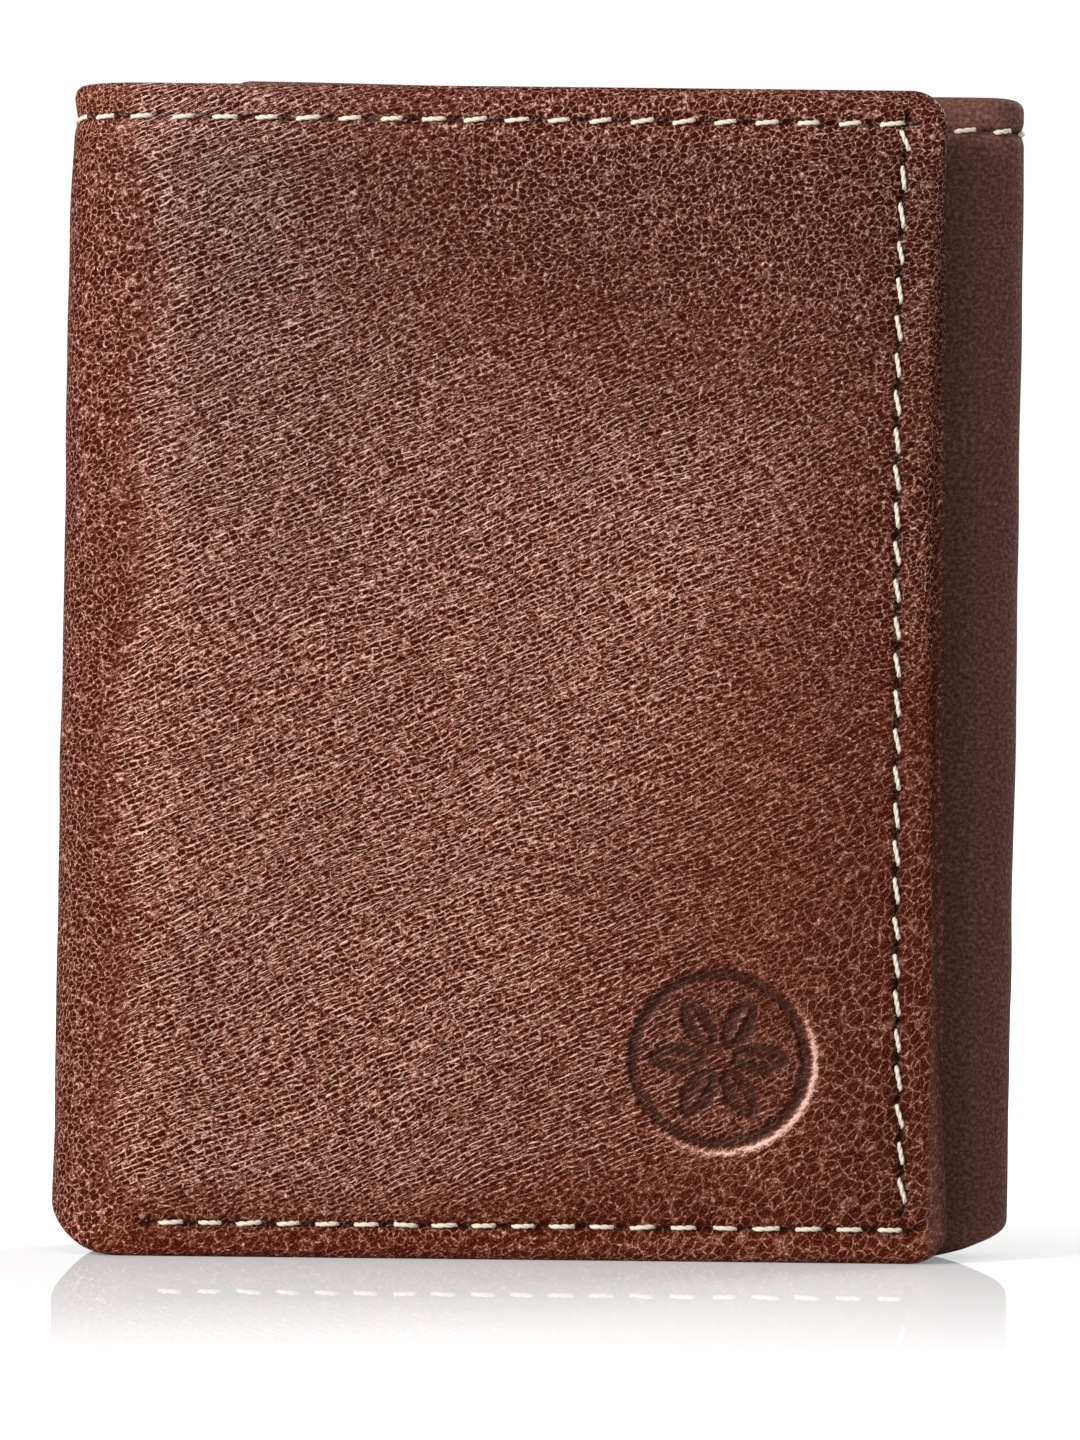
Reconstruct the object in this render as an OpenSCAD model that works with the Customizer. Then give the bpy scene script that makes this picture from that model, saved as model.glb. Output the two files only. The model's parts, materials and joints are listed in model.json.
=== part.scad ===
// Trifold wallet, closed and standing on its lower edges.
// X runs across the wallet, Y from the front flap to the back panel, Z up.
// Depth always means the distance in from the outer face of the leather.

/* [Wallet] */
// Width of the closed wallet, from fold to fold
closed_w = 88.9; // [86:0.1:98]
// Height of the leather
wallet_h = 108; // [105:1:118]
// Thickness of the closed wallet
closed_t = 16.8; // [16.8:0.2:20]
// Width of the strip between the front flap's free edge and the right fold
strip_w = 7.6; // [6:0.2:14]
// Distance from the left fold to the inner flap's free edge
inner_gap = 13.2; // [12:0.2:20]
// Radius of the flaps' free corners
corner_r = 3.6; // [2:0.2:5]

/* [Folds] */
// Outer radius of the left fold, which wraps round both flaps
left_r = 7; // [6.4:0.1:8]
// Outer radius of the right fold, which wraps round the inner flap
right_r = 4.4; // [4.2:0.1:4.8]
// Distance from the wallet's front to the inner flap's outer face
inner_depth = 6.4; // [6.2:0.1:6.6]
// Half of the slit between two bodies at a fold, in degrees of the bend
slit = 0.6; // [0.4:0.1:1]

/* [Layers] */
// Thickness of the shell leather
leather_t = 1.2; // [1:0.1:1.3]
// Thickness of the thinned leather edge that is turned in
hem_t = 0.8; // [0.6:0.1:0.8]
// Width of the turned edge
hem_w = 8; // [6:0.5:10]
// Thickness of the lining cloth
lining_t = 0.25; // [0.2:0.05:0.3]
// Room for banknotes between the lining and the inner wall
bill_gap = 0.7; // [0.5:0.1:0.8]
// Thickness of the inner wall and of each pocket
pocket_t = 0.5; // [0.4:0.05:0.5]
// Thickness of the clear window
window_t = 0.2; // [0.15:0.05:0.25]

/* [Pockets] */
// Height of the inner wall's upper edge
wall_top = 103; // [98:0.5:104]
// Height of the rearmost card slot's edge
slot_top = 94; // [90:1:96]
// Step from one card slot's edge down to the next
slot_step = 9; // [7:0.5:11]
// Width of the card pockets
pocket_w = 62; // [58:0.5:63]
// Width of the clear window's opening
window_w = 50; // [46:1:52]
// Height of the clear window's opening
window_h = 72; // [60:1:76]

/* [Stitching] */
// Thickness of the thread
thread_t = 0.5; // [0.4:0.05:0.6]
// Length of one stitch
stitch_l = 2.2; // [1.8:0.1:2.6]
// Distance between stitches along the horizontal rows
row_pitch = 3.84; // [3.4:0.02:4.4]
// Distance between stitches down the free edges
edge_pitch = 3.45; // [3:0.05:4]
// Distance of the upper row below the top
top_row = 3.2; // [2.6:0.1:4]
// Distance of the lower row above the bottom
bottom_row = 2.8; // [2.4:0.1:4]
// Distance of the vertical row from the free edge
edge_row = 3.7; // [3:0.1:4.5]

/* [Emblem] */
// Diameter of the pressed ring
emblem_d = 16.5; // [10:0.5:20]
// Distance of its centre from the left fold
emblem_x = 61.3; // [40:0.1:65]
// Height of its centre
emblem_z = 18.7; // [16:0.1:30]
// Depth of the pressing
emblem_depth = 0.2; // [0.1:0.05:0.3]

/* [Hidden] */
$fn = 64;

leather_brown = [0.44, 0.26, 0.2];
pocket_brown = [0.3, 0.17, 0.13];
lining_brown = [0.16, 0.11, 0.1];
board_grey = [0.55, 0.52, 0.48];
thread_beige = [0.78, 0.71, 0.6];
clear_grey = [0.8, 0.85, 0.88, 0.4];

// Faces and the centres of the four bends, seen from above.
front_y = -closed_t / 2;
back_y = closed_t / 2;
inner_y = front_y + inner_depth;
left_x = -closed_w / 2;
right_x = closed_w / 2;
left_c = left_x + left_r;
right_c = right_x - right_r;
left_bend_y = back_y - left_r;
right_back_y = back_y - right_r;
right_front_y = inner_y + right_r;
front_edge = right_x - strip_w;
inner_edge = left_x + inner_gap;

// Depths of the layers.
hem_d = leather_t + hem_t;
lining_d = hem_d + 0.05;
bill_d = lining_d + lining_t;
wall_d = bill_d + bill_gap;
pocket_d = wall_d + pocket_t;
window_d = pocket_d + pocket_t;
frame_d = window_d + window_t;
lining_z = 2;
wall_z = 1;
flange_h = 3;
layer_inset = 1.6;
board_play = 0.3;
slots = 3;

// Thread lies in a groove a little wider than itself.
groove_d = 0.45;
groove_w = 0.9;
thread_rise = 0.24;
surface_thread = 0.15;

// The outer face as one line, from the front flap's free edge round both folds.
left_quarter = left_r * PI / 2;
right_quarter = right_r * PI / 2;
u_front = front_edge - left_c;
u_left_a = u_front + left_quarter;
u_left_b = u_left_a + 2 * left_bend_y;
u_centre = u_left_b + left_quarter;
u_centre_end = u_centre + right_c - left_c;
u_right_a = u_centre_end + right_quarter;
u_right_b = u_right_a + right_back_y - right_front_y;
u_inner = u_right_b + right_quarter;
u_end = u_inner + right_c - inner_edge;

function turn(length, radius) = length / radius * 180 / PI;
function round_bend(centre, radius, a) =
    [centre[0] + radius * cos(a), centre[1] + radius * sin(a), a];
// Position on the outer face and the direction it faces, for a length u along it.
function outer_face(u) =
    u < u_front ? [front_edge - u, front_y, 270] :
    u < u_left_a ? round_bend([left_c, -left_bend_y], left_r, 270 - turn(u - u_front, left_r)) :
    u < u_left_b ? [left_x, -left_bend_y + u - u_left_a, 180] :
    u < u_centre ? round_bend([left_c, left_bend_y], left_r, 180 - turn(u - u_left_b, left_r)) :
    u < u_centre_end ? [left_c + u - u_centre, back_y, 90] :
    u < u_right_a ? round_bend([right_c, right_back_y], right_r, 90 - turn(u - u_centre_end, right_r)) :
    u < u_right_b ? [right_x, right_back_y - (u - u_right_a), 0] :
    u < u_inner ? round_bend([right_c, right_front_y], right_r, -turn(u - u_right_b, right_r)) :
    [right_c - (u - u_inner), inner_y, -90];

// A ring sector between two depths, one part of a bend.
module bend(centre, radius, a0, a1, d0, d1) {
    reach = 2 * radius;
    translate(centre) intersection() {
        difference() {
            circle(radius - d0);
            circle(radius - d1);
        }
        polygon([[0, 0], reach * [cos(a0), sin(a0)], reach * [cos(a1), sin(a1)]]);
    }
}

// Plan sections of the five bodies between two depths.
module centre_plan(d0, d1) {
    translate([left_c, back_y - d1]) square([right_c - left_c, d1 - d0]);
    bend([left_c, left_bend_y], left_r, 90, 135 - slit, d0, d1);
    bend([right_c, right_back_y], right_r, 45 + slit, 90, d0, d1);
}

module left_plan(d0, d1) {
    translate([left_x + d0, -left_bend_y]) square([d1 - d0, 2 * left_bend_y]);
    bend([left_c, left_bend_y], left_r, 135 + slit, 180, d0, d1);
    bend([left_c, -left_bend_y], left_r, 180, 225 - slit, d0, d1);
}

module front_plan(d0, d1, inset = 0) {
    translate([left_c, front_y + d0]) square([front_edge - inset - left_c, d1 - d0]);
    bend([left_c, -left_bend_y], left_r, 225 + slit, 270, d0, d1);
}

module right_plan(d0, d1) {
    translate([right_x - d1, right_front_y]) square([d1 - d0, right_back_y - right_front_y]);
    bend([right_c, right_back_y], right_r, 0, 45 - slit, d0, d1);
    bend([right_c, right_front_y], right_r, -45 + slit, 0, d0, d1);
}

module inner_plan(d0, d1, inset = 0) {
    translate([inner_edge + inset, inner_y + d0]) square([right_c - inner_edge - inset, d1 - d0]);
    bend([right_c, right_front_y], right_r, -90, -45 - slit, d0, d1);
}

// Raises a plan section between two heights.
module raise(z0, z1) {
    translate([0, 0, z0]) linear_extrude(z1 - z0) children();
}

// The leather, its turned upper and lower edges, and the groove of the upper row.
module leather(groove_inset = 0) {
    difference() {
        union() {
            raise(0, wallet_h) children(0);
            raise(0, hem_w) children(1);
            raise(wallet_h - hem_w, wallet_h) children(1);
        }
        raise(wallet_h - top_row - groove_w / 2, wallet_h - top_row + groove_w / 2) children(2);
    }
}

// A plate facing the reader that ends in two rounded corners, on the side dir points to.
module round_ended(edge, dir) {
    far = 2 * closed_w;
    translate([edge, closed_t, 0]) rotate([90, 0, 0]) linear_extrude(2 * closed_t)
        mirror([dir < 0 ? 1 : 0, 0]) {
            translate([-far, 0]) square([far - corner_r, wallet_h]);
            translate([-2 * corner_r, corner_r]) square([2 * corner_r, wallet_h - 2 * corner_r]);
            for (z = [corner_r, wallet_h - corner_r]) translate([-corner_r, z]) circle(corner_r);
        }
}

// A block from x0 to x1 and z0 to z1 between two values of Y.
module slab(x0, x1, y0, y1, z0, z1) {
    translate([x0, min(y0, y1), z0]) cube([x1 - x0, abs(y1 - y0), z1 - z0]);
}

// Upper and lower edge of the grooves, in which the rows of one panel lie.
module lower_groove(x0, x1, y, dir) {
    slab(x0, x1, y - dir, y + dir * groove_d, bottom_row - groove_w / 2, bottom_row + groove_w / 2);
}

module edge_groove(x, y, dir) {
    slab(x - groove_w / 2, x + groove_w / 2, y - dir, y + dir * groove_d,
        bottom_row - groove_w / 2, wallet_h - top_row + groove_w / 2);
}

// One stitch of a horizontal row, lying on the groove's floor at length u.
module stitch(u, z) {
    place = outer_face(u);
    translate([place[0], place[1], z]) rotate([0, 0, place[2] - 90])
        translate([-stitch_l / 2, -groove_d + 0.04, -thread_t / 2])
            cube([stitch_l, thread_rise, thread_t]);
}

module upper_row(u0, u1) {
    for (u = [edge_row + 1.3 : row_pitch : u_end - edge_row - 1.3])
        if (u - stitch_l / 2 > u0 && u + stitch_l / 2 < u1) stitch(u, wallet_h - top_row);
}

module lower_row(u0, u1) {
    for (u = [u0 : row_pitch : u1]) stitch(u, bottom_row);
}

// The vertical row beside a free edge.
module edge_row_stitches(x, y, dir) {
    for (z = [bottom_row + 3 : edge_pitch : wallet_h - top_row - 3])
        slab(x - thread_t / 2, x + thread_t / 2, y + dir * groove_d,
            y + dir * (groove_d - thread_rise), z - stitch_l / 2, z + stitch_l / 2);
}

// Three lens-shaped petals each way round make the six points of the rosette.
module rosette() {
    petal_r = emblem_d * 0.36;
    for (a = [0 : 60 : 300]) rotate(a) intersection() {
        translate([petal_r * 0.5, petal_r * 0.75]) circle(petal_r * 0.9);
        translate([petal_r * 0.5, -petal_r * 0.75]) circle(petal_r * 0.9);
    }
}

module emblem() {
    translate([left_x + emblem_x, front_y + emblem_depth, emblem_z]) rotate([90, 0, 0])
        linear_extrude(2) {
            difference() {
                circle(d = emblem_d);
                circle(d = emblem_d - 2);
            }
            rosette();
        }
}

// Stiffening board inside the turned edges.
module board(x0, x1, y, dir) {
    color(board_grey) slab(x0, x1, y + dir * (leather_t + 0.05), y + dir * (hem_d - 0.05),
        hem_w + board_play, wallet_h - hem_w - board_play);
}

// Inner wall of the note compartment, joined to the lining along its foot.
module wall() {
    color(pocket_brown) {
        raise(wall_z, wall_top) children(0);
        raise(wall_z, wall_z + flange_h) children(1);
    }
}

// Pocket number n of a flap, counted from the rearmost and tallest.
module card_pocket(n, x0, y) {
    d = pocket_d + n * pocket_t;
    color(pocket_brown)
        slab(x0, x0 + pocket_w, y + d, y + d + pocket_t, wall_z + flange_h, slot_top - n * slot_step);
}

// Thread down both sides of a flap's pockets, on the face of the nearest one.
module pocket_thread(x0, y) {
    side = 1.6;
    color(thread_beige) for (x = [x0 + side, x0 + pocket_w - side])
        for (z = [wall_z + flange_h + 2.5 : edge_pitch : slot_top - 2]) {
            lower = z - stitch_l / 2;
            upper = z + stitch_l / 2;
            covered = len([for (n = [0 : slots - 1]) if (upper < slot_top - n * slot_step) n]);
            crossing = len([for (n = [0 : slots - 1])
                if (lower < slot_top - n * slot_step && upper >= slot_top - n * slot_step) n]);
            face = y + pocket_d + covered * pocket_t;
            if (crossing == 0)
                slab(x - thread_t / 2, x + thread_t / 2, face, face + surface_thread, lower, upper);
        }
}

front_pocket_x = front_edge - layer_inset - 1 - pocket_w;
inner_pocket_x = inner_edge + layer_inset + 1;
window_x = (left_c + right_c) / 2;
window_z = 12;
frame_border = 5;

// The back panel.
module centre_shell() {
    color(leather_brown) difference() {
        leather() {
            centre_plan(0, leather_t);
            centre_plan(leather_t, hem_d);
            centre_plan(-0.5, groove_d);
        }
        lower_groove(left_c + 2, right_c - 2, back_y, -1);
    }
}

module centre_stiffener() {
    board(left_c + 1, right_c - 1, back_y, -1);
}

module centre_bill_lining() {
    color(lining_brown) raise(lining_z, wall_top + 1) centre_plan(lining_d, bill_d);
}

module centre_wall() {
    wall() {
        centre_plan(wall_d, pocket_d);
        centre_plan(bill_d, wall_d);
    }
}

module slip_pocket() {
    color(pocket_brown)
        slab(window_x - pocket_w / 2, window_x + pocket_w / 2, back_y - pocket_d, back_y - window_d,
            wall_z + flange_h, 98);
}

module id_window() {
    margin = 2.5;
    color(clear_grey)
        slab(window_x - window_w / 2 - margin, window_x + window_w / 2 + margin,
            back_y - window_d, back_y - frame_d, window_z - margin, window_z + window_h + margin);
}

module id_frame() {
    notch_r = 9;
    notch_rise = 5.5;
    frame_w = window_w + 2 * frame_border;
    frame_h = window_h + 2 * frame_border;
    color(pocket_brown) difference() {
        slab(window_x - frame_w / 2, window_x + frame_w / 2, back_y - frame_d,
            back_y - frame_d - pocket_t, window_z - frame_border, window_z - frame_border + frame_h);
        slab(window_x - window_w / 2, window_x + window_w / 2, back_y, back_y - 2 * frame_d,
            window_z, window_z + window_h);
        translate([window_x, back_y, window_z + window_h + frame_border + notch_rise]) rotate([90, 0, 0])
            cylinder(r = notch_r, h = closed_t / 2);
    }
}

module centre_stitching() {
    color(thread_beige) {
        upper_row(u_centre - left_quarter / 2, u_centre_end + right_quarter / 2);
        lower_row(u_centre + 4, u_centre_end - 4);
    }
}

module id_stitching() {
    inset = 2;
    side_x = window_w / 2 + frame_border - inset;
    low_z = window_z - frame_border + inset;
    face = back_y - frame_d - pocket_t;
    color(thread_beige) {
        for (x = [window_x - side_x, window_x + side_x])
            for (z = [low_z + 3 : edge_pitch : low_z + window_h + 2])
                slab(x - thread_t / 2, x + thread_t / 2, face, face - surface_thread,
                    z - stitch_l / 2, z + stitch_l / 2);
        for (x = [window_x - side_x + 3 : row_pitch : window_x + side_x - 2])
            slab(x - stitch_l / 2, x + stitch_l / 2, face, face - surface_thread,
                low_z - thread_t / 2, low_z + thread_t / 2);
    }
}

// The left fold, between the back panel and the front flap.
module left_fold_shell() {
    color(leather_brown) leather() {
        left_plan(0, leather_t);
        left_plan(leather_t, hem_d);
        left_plan(-0.5, groove_d);
    }
}

module left_fold_lining() {
    color(lining_brown) raise(lining_z, wall_top + 1) left_plan(lining_d, bill_d);
}

module left_fold_wall() {
    wall() {
        left_plan(wall_d, pocket_d);
        left_plan(bill_d, wall_d);
    }
}

module left_fold_stitching() {
    color(thread_beige) upper_row(u_front + left_quarter / 2, u_centre - left_quarter / 2);
}

// The front flap.
module front_shell() {
    color(leather_brown) difference() {
        intersection() {
            union() {
                leather() {
                    front_plan(0, leather_t);
                    front_plan(leather_t, hem_d);
                    front_plan(-0.5, groove_d, edge_row - groove_w / 2);
                }
                slab(front_edge - hem_w, front_edge, front_y + leather_t, front_y + hem_d, 0, wallet_h);
            }
            round_ended(front_edge, 1);
        }
        lower_groove(left_c + 1, front_edge - edge_row, front_y, 1);
        edge_groove(front_edge - edge_row, front_y, 1);
        emblem();
    }
}

module front_stiffener() {
    board(left_c + 1, front_edge - hem_w - board_play, front_y, 1);
}

module front_bill_lining() {
    color(lining_brown) raise(lining_z, wall_top + 1) front_plan(lining_d, bill_d, layer_inset);
}

module front_wall() {
    wall() {
        front_plan(wall_d, pocket_d, layer_inset);
        front_plan(bill_d, wall_d, layer_inset);
    }
}

module front_card_pocket_rear() {
    card_pocket(0, front_pocket_x, front_y);
}

module front_card_pocket_middle() {
    card_pocket(1, front_pocket_x, front_y);
}

module front_card_pocket_near() {
    card_pocket(2, front_pocket_x, front_y);
}

module front_stitching() {
    color(thread_beige) {
        upper_row(0, u_front + left_quarter / 2);
        lower_row(edge_row + 3, u_front - 2.5);
        edge_row_stitches(front_edge - edge_row, front_y, 1);
    }
}

module front_pocket_stitching() {
    pocket_thread(front_pocket_x, front_y);
}

// The right fold, between the back panel and the inner flap.
module right_fold_shell() {
    color(leather_brown) leather() {
        right_plan(0, leather_t);
        right_plan(leather_t, hem_d);
        right_plan(-0.5, groove_d);
    }
}

module right_fold_lining() {
    color(lining_brown) raise(lining_z, wall_top + 1) right_plan(lining_d, bill_d);
}

module right_fold_wall() {
    wall() {
        right_plan(wall_d, pocket_d);
        right_plan(bill_d, wall_d);
    }
}

module right_fold_stitching() {
    color(thread_beige) upper_row(u_centre_end + right_quarter / 2, u_inner - right_quarter / 2);
}

// The inner flap, which lies between the front flap and the back panel.
module inner_shell() {
    color(leather_brown) difference() {
        intersection() {
            union() {
                leather() {
                    inner_plan(0, leather_t);
                    inner_plan(leather_t, hem_d);
                    inner_plan(-0.5, groove_d, edge_row - groove_w / 2);
                }
                slab(inner_edge, inner_edge + hem_w, inner_y + leather_t, inner_y + hem_d, 0, wallet_h);
            }
            round_ended(inner_edge, -1);
        }
        lower_groove(inner_edge + edge_row, right_c - 11, inner_y, 1);
        edge_groove(inner_edge + edge_row, inner_y, 1);
    }
}

module inner_stiffener() {
    board(inner_edge + hem_w + board_play, right_c - 1, inner_y, 1);
}

module inner_bill_lining() {
    color(lining_brown) raise(lining_z, wall_top + 1) inner_plan(lining_d, bill_d, layer_inset);
}

module inner_wall() {
    wall() {
        inner_plan(wall_d, pocket_d, layer_inset);
        inner_plan(bill_d, wall_d, layer_inset);
    }
}

module inner_card_pocket_rear() {
    card_pocket(0, inner_pocket_x, inner_y);
}

module inner_card_pocket_middle() {
    card_pocket(1, inner_pocket_x, inner_y);
}

module inner_card_pocket_near() {
    card_pocket(2, inner_pocket_x, inner_y);
}

module inner_stitching() {
    color(thread_beige) {
        upper_row(u_inner - right_quarter / 2, u_end);
        lower_row(u_inner + 13, u_end - edge_row - 3);
        edge_row_stitches(inner_edge + edge_row, inner_y, 1);
    }
}

module inner_pocket_stitching() {
    pocket_thread(inner_pocket_x, inner_y);
}

centre_shell();
centre_stiffener();
centre_bill_lining();
centre_wall();
slip_pocket();
id_window();
id_frame();
centre_stitching();
id_stitching();
left_fold_shell();
left_fold_lining();
left_fold_wall();
left_fold_stitching();
front_shell();
front_stiffener();
front_bill_lining();
front_wall();
front_card_pocket_rear();
front_card_pocket_middle();
front_card_pocket_near();
front_stitching();
front_pocket_stitching();
right_fold_shell();
right_fold_lining();
right_fold_wall();
right_fold_stitching();
inner_shell();
inner_stiffener();
inner_bill_lining();
inner_wall();
inner_card_pocket_rear();
inner_card_pocket_middle();
inner_card_pocket_near();
inner_stitching();
inner_pocket_stitching();
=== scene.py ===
"""Looks of a closed trifold wallet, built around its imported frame. Lengths are in metres.

The leather is described flat and then wrapped round the folds. A point of it has three numbers:
u, the distance along the outer face from the front flap's free edge round both folds,
v, the height, and d, the depth in from the outer face.
"""

import json
import math

import bpy
import numpy as np
from mathutils import Matrix, Vector


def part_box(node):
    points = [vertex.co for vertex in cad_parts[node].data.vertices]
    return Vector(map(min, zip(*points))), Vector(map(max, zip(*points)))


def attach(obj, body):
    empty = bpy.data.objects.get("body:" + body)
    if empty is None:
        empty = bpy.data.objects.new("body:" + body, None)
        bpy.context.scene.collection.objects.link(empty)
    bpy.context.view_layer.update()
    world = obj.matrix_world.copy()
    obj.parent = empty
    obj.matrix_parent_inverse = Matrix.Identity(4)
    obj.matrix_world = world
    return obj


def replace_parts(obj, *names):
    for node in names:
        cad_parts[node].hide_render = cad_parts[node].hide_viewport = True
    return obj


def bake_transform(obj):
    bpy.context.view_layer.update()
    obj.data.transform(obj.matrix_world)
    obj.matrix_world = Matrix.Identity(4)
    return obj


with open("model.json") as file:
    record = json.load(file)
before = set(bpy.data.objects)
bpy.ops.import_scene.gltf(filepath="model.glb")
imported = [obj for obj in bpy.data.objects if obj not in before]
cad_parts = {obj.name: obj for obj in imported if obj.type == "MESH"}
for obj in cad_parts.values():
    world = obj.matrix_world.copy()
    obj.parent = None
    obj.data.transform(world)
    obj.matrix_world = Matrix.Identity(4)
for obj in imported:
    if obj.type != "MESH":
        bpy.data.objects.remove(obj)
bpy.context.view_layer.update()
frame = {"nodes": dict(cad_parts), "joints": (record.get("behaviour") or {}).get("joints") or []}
rng = np.random.default_rng(7)
MM = 0.001

# ---------------------------------------------------------------- places from the frame
hinges = {j["name"]: j["pos_m"] for j in frame["joints"]}
FRONT_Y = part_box("front_shell")[0].y
BACK_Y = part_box("centre_shell")[1].y
INNER_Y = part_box("inner_shell")[0].y
LEFT_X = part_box("left_fold_shell")[0].x
RIGHT_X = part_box("right_fold_shell")[1].x
FRONT_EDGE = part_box("front_shell")[1].x
INNER_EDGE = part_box("inner_shell")[0].x
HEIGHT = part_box("centre_shell")[1].z
# A hinge lies half-way round its bend, which gives the bend's outer radius.
HALF_WAY = 1 - math.sqrt(0.5)
LEFT_R = (hinges["left_fold_back"][0] - LEFT_X) / HALF_WAY
RIGHT_R = (RIGHT_X - hinges["right_fold_back"][0]) / HALF_WAY
LEFT_C = LEFT_X + LEFT_R
RIGHT_C = RIGHT_X - RIGHT_R


def depth_of(node, outer_y):
    """Depths between which a flat layer lies."""
    low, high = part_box(node)
    return sorted((abs(low.y - outer_y), abs(high.y - outer_y)))


# Runs along the outer face: kind, start x and y or a bend's centre, direction faced, length, radius.
LEFT_BEND, RIGHT_BEND = LEFT_R * math.pi / 2, RIGHT_R * math.pi / 2
LEFT_BEND_Y, RIGHT_BACK_Y, RIGHT_FRONT_Y = BACK_Y - LEFT_R, BACK_Y - RIGHT_R, INNER_Y + RIGHT_R
RUNS = [
    ("flat", FRONT_EDGE, FRONT_Y, 270, FRONT_EDGE - LEFT_C, 0),
    ("bend", LEFT_C, -LEFT_BEND_Y, 270, LEFT_BEND, LEFT_R),
    ("flat", LEFT_X, -LEFT_BEND_Y, 180, 2 * LEFT_BEND_Y, 0),
    ("bend", LEFT_C, LEFT_BEND_Y, 180, LEFT_BEND, LEFT_R),
    ("flat", LEFT_C, BACK_Y, 90, RIGHT_C - LEFT_C, 0),
    ("bend", RIGHT_C, RIGHT_BACK_Y, 90, RIGHT_BEND, RIGHT_R),
    ("flat", RIGHT_X, RIGHT_BACK_Y, 0, RIGHT_BACK_Y - RIGHT_FRONT_Y, 0),
    ("bend", RIGHT_C, RIGHT_FRONT_Y, 0, RIGHT_BEND, RIGHT_R),
    ("flat", RIGHT_C, INNER_Y, -90, RIGHT_C - INNER_EDGE, 0),
]
STARTS = np.concatenate([[0], np.cumsum([run[4] for run in RUNS])])
U_FRONT, U_LEFT_A, U_LEFT_B, U_CENTRE, U_CENTRE_END, U_RIGHT_A, U_RIGHT_B, U_INNER, U_END = STARTS[1:]
U_LEFT_MID = (U_LEFT_A + U_LEFT_B) / 2
U_CENTRE_MID = (U_CENTRE + U_CENTRE_END) / 2
U_RIGHT_MID = (U_RIGHT_A + U_RIGHT_B) / 2


LEAN = 0.006  # the standing wallet leans a little, its top to the right


def place(u, v, d):
    """Points in the row frame for flat leather coordinates."""
    u, v, d = (a.ravel() for a in np.broadcast_arrays(*(np.asarray(q, float) for q in (u, v, d))))
    run_of = np.clip(np.searchsorted(STARTS, u, side="right") - 1, 0, len(RUNS) - 1)
    out = np.zeros((len(u), 3))
    for k, (kind, x, y, faces, _, radius) in enumerate(RUNS):
        m = run_of == k
        along = u[m] - STARTS[k]
        if kind == "flat":
            a = math.radians(faces)
            out[m, 0] = x + along * math.sin(a) - d[m] * math.cos(a)
            out[m, 1] = y - along * math.cos(a) - d[m] * math.sin(a)
        else:
            a = math.radians(faces) - along / radius
            out[m, 0] = x + (radius - d[m]) * np.cos(a)
            out[m, 1] = y + (radius - d[m]) * np.sin(a)
    out[:, 0] += LEAN * (v - HEIGHT / 2)
    out[:, 2] = v
    return out


# ---------------------------------------------------------------- sizes of the looks
TOP_ROW, LOW_ROW, EDGE_ROW = 3.15 * MM, 3.15 * MM, 4.0 * MM
ROW_PITCH, LOW_PITCH, EDGE_PITCH = 3.84 * MM, 3.6 * MM, 3.45 * MM
ROW_LEAN, EDGE_LEAN, SLIT_LEAN = math.radians(7), math.radians(11), math.radians(14)
HEM_T, HEM_W, LEATHER_T = 2.0 * MM, 8 * MM, 1.2 * MM
ROLL_W = 1.25 * MM
CORNER_R = 3.6 * MM
EMBLEM_U = FRONT_EDGE - (LEFT_X + 61.3 * MM)
EMBLEM_V, EMBLEM_R = 18.7 * MM, 8.25 * MM


def smooth(x, low, high):
    t = np.clip((x - low) / (high - low), 0, 1)
    return t * t * (3 - 2 * t)


def waves(u, v, seed, size, count=7):
    """A smooth random field of about unit height, made of a few plane waves."""
    r = np.random.default_rng(seed)
    total = np.zeros(np.broadcast(u, v).shape)
    for _ in range(count):
        heading, phase = r.uniform(0, 2 * math.pi, 2)
        k = 2 * math.pi / (size * r.uniform(0.7, 1.5))
        total = total + np.cos(k * (u * math.cos(heading) + v * math.sin(heading)) + phase)
    return total / math.sqrt(count)


# ---------------------------------------------------------------- outline of the leather
def fold_nearness(u, middle, reach):
    """1 on a fold's spine, falling to 0 at a distance of reach along the leather."""
    return 1 - smooth(np.abs(u - middle), 0, reach)


def low_edge(u):
    """Height of the lower edge. It rises round both folds."""
    left = 3.6 * MM * fold_nearness(u, U_LEFT_MID, 12.5 * MM) ** 1.5
    right = 2.5 * MM * fold_nearness(u, U_RIGHT_MID, 13 * MM)
    return left + right


def high_edge(u):
    left = 0.9 * MM * fold_nearness(u, U_LEFT_MID, 6 * MM) ** 2
    right = 0.2 * MM * fold_nearness(u, U_RIGHT_MID, 6 * MM) ** 2
    rise = 0.8 * MM * smooth(u, U_INNER + 15 * MM, U_END)
    return HEIGHT - left - right + rise


def bow(v):
    """How far the front flap's free edge stands in from the straight line, at a height."""
    t = 1 - v / HEIGHT
    return (4.29 * t - 5.96 * t * t) * MM


def warp(u, v):
    """The front flap's free edge isn't quite straight; the leather beside it goes with it."""
    share = 1 - smooth(u, 0, 34 * MM)
    return u + bow(v) * share


# ---------------------------------------------------------------- stitch rows
def edge_row_u(v):
    """Nominal distance of the front flap's vertical row from the free edge."""
    t = v / HEIGHT
    return EDGE_ROW - 0.6 * MM * np.exp(-((t - 0.5) / 0.25) ** 2)


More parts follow.
